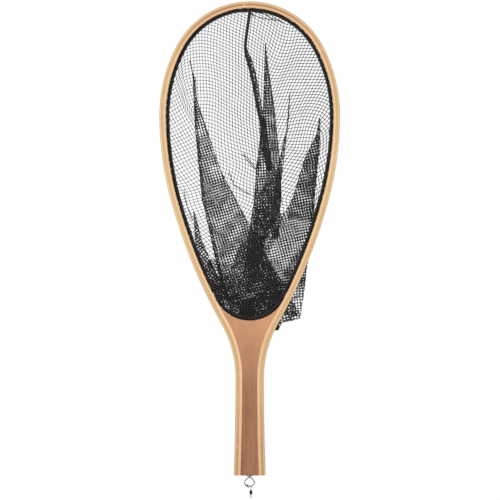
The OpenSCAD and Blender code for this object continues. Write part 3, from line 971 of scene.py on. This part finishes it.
glue_material = twine_material("glue", srgb(146, 98, 62), srgb(168, 118, 80), 0.0)
make_mesh("glue_lines", *joined([glue_line(edge) for edge in PLY_EDGES[:2]]), "frame", "brown_strip", glue_material)

# ---------------------------------------------------------------- CAD nodes: coordinates and materials


def store(node, name, values):
    """Writes a vector for each vertex of a CAD node, for its material to read. The shape isn't touched."""
    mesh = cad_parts[node].data
    attribute = mesh.attributes.new(name, "FLOAT_VECTOR", "POINT")
    attribute.data.foreach_set("vector", values.astype(np.float32).ravel())


def positions(node):
    """Vertex places of a CAD node, in mm."""
    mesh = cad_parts[node].data
    co = np.empty(len(mesh.vertices) * 3, np.float32)
    mesh.vertices.foreach_get("co", co)
    return co.reshape(-1, 3).astype(float) / MM


def paint(node, material):
    """Gives a CAD node a material in place of its own."""
    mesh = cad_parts[node].data
    mesh.materials.clear()
    mesh.materials.append(material)


# Each lamination: its pale and deep colour, its tint near the tip and the butt, and where along the strip (mm
# from the tip, negative on the left) the bamboo's nodes fall.
LAMINATIONS = {
    "outer_lamination": (
        srgb(231, 201, 150),
        srgb(211, 176, 121),
        srgb(216, 168, 126),
        (-6, -104, 122, -322, 381, -590, 612),
    ),
    "middle_lamination": (
        srgb(224, 186, 141),
        srgb(205, 161, 115),
        srgb(150, 98, 62),
        (-6, -187, 118, -402, 466, -640),
    ),
    "inner_lamination": (
        srgb(242, 203, 154),
        srgb(229, 185, 137),
        srgb(218, 168, 122),
        (-6, -98, 126, -262, 300, -455, 540),
    ),
}
for node, (pale, deep, tint, node_places) in LAMINATIONS.items():
    co = positions(node)
    along, inset = strip_coordinates(co[:, 0], co[:, 2])
    store(node, "strip", np.stack([along, inset, co[:, 1]], axis=-1) * MM)
    paint(node, lamination_material(node + "_wood", pale, deep, tint, node_places, PLY_EDGES[:2]))
paint("handle_core", core_material())

cord_material = braid_material("black_braid", 2.2, 3)
for node, middle in (("hem_cord", HEM_INSET), ("lacing_cord", -0.3)):
    co = positions(node)
    along, inset = strip_coordinates(co[:, 0], co[:, 2])
    angle = np.arctan2(co[:, 1], inset - middle)
    store(node, "braid", np.stack([along * MM, angle, np.zeros(len(co))], axis=-1))
    paint(node, cord_material)
paint("hem_loops", net_material)

brass = metal_material("aged_brass", srgb(176, 136, 88), srgb(92, 66, 44), 0.9, 0.32, 0.8)
dark_steel = metal_material("dark_wire", srgb(120, 118, 114), srgb(52, 50, 48), 0.95, 0.25, 0.6)
bright_steel = metal_material("bright_wire", srgb(176, 176, 172), srgb(96, 92, 86), 1.0, 0.22, 0.4)
black_barrel = metal_material("black_barrel", srgb(46, 45, 44), srgb(20, 19, 18), 0.7, 0.3, 0.5)
for node, material in (
    ("screw_eye", brass),
    ("butt_washer", brass),
    ("lanyard_ring", dark_steel),
    ("swivel_upper_eye", bright_steel),
    ("swivel_barrel", black_barrel),
    ("swivel_lower_eye", bright_steel),
):
    paint(node, material)

# The ring's hooked end goes on over the other wire and curls round it. The heights are below the ring's top.
HOOK = ((-0.7, 0, -11.95), (-1.9, -0.35, -11.7), (-3.0, -1.2, -11.15), (-4.0, -1.45, -10.8), (-5.1, -0.95, -11.1))
HOOK += ((-5.5, -0.2, -12.0),)
ring_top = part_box("lanyard_ring")[1].z / MM
hook = resampled(rounded(HOOK), 0.15) + (0.0, 0.0, ring_top)
hook_radii = np.full(len(hook), 0.6)
hook_radii[-4:] = (0.58, 0.5, 0.35, 0.01)  # the wire's end is rounded
make_mesh("ring_hook", *single_tube(hook, hook_radii, 20), "ring", "dark_wire", dark_steel)

# ---------------------------------------------------------------- stage: floor, light, camera


FLOOR_HALF = 20.0
CAMERA_WIDTH = 0.63275  # metres across the picture
CAMERA_PLACE = (0.0004, -3.0, 0.2854)


def add_floor():
    """The pale floor, just below the net's lowest point."""
    signs = ((-1, -1), (1, -1), (1, 1), (-1, 1))
    corners = [(x * FLOOR_HALF, y * FLOOR_HALF) for x, y in signs]
    mesh = bpy.data.meshes.new("floor")
    height = cad_low.z - 0.0005
    mesh.from_pydata([(x, y, height) for x, y in corners], [], [(0, 1, 2, 3)])
    mesh.materials.append(stage_material())
    floor = bpy.data.objects.new("floor", mesh)
    bpy.context.scene.collection.objects.link(floor)


def add_light(name, place, aim, size, power):
    """A square area light."""
    light = bpy.data.lights.new(name, "AREA")
    light.size, light.energy = size, power
    lamp = bpy.data.objects.new(name, light)
    lamp.location = place
    lamp.rotation_mode = "QUATERNION"
    lamp.rotation_quaternion = (Vector(aim) - Vector(place)).to_track_quat("-Z", "Y")
    bpy.context.scene.collection.objects.link(lamp)


def add_world(seen, cast):
    """A white surround: the camera sees one strength, surfaces are lit by another."""
    world = bpy.data.worlds.new("surround")
    world.use_nodes = True
    tree = world.node_tree
    tree.nodes.clear()
    path = tree.nodes.new("ShaderNodeLightPath")
    strength = tree.nodes.new("ShaderNodeMapRange")
    strength.inputs["To Min"].default_value = cast
    strength.inputs["To Max"].default_value = seen
    back = tree.nodes.new("ShaderNodeBackground")
    back.inputs["Color"].default_value = (1, 1, 1, 1)
    out = tree.nodes.new("ShaderNodeOutputWorld")
    tree.links.new(path.outputs["Is Camera Ray"], strength.inputs["Value"])
    tree.links.new(strength.outputs[0], back.inputs["Strength"])
    tree.links.new(back.outputs[0], out.inputs["Surface"])
    bpy.context.scene.world = world


def add_camera():
    """A camera straight in front, as in the photo."""
    camera = bpy.data.cameras.new("camera")
    camera.type = "ORTHO"
    camera.ortho_scale = CAMERA_WIDTH
    camera.clip_end = 20
    holder = bpy.data.objects.new("camera", camera)
    holder.location = CAMERA_PLACE
    holder.rotation_euler = (math.pi / 2, 0, 0)
    bpy.context.scene.collection.objects.link(holder)
    bpy.context.scene.camera = holder


add_floor()
add_world(seen=1.0, cast=0.68)
middle = (cad_low + cad_high) / 2
add_light("key", (-1.1, -2.0, 1.5), middle, 1.2, 22)
add_light("fill", (1.6, -1.6, 0.6), middle, 1.4, 8)
add_camera()
bpy.context.scene.view_settings.view_transform = "Standard"
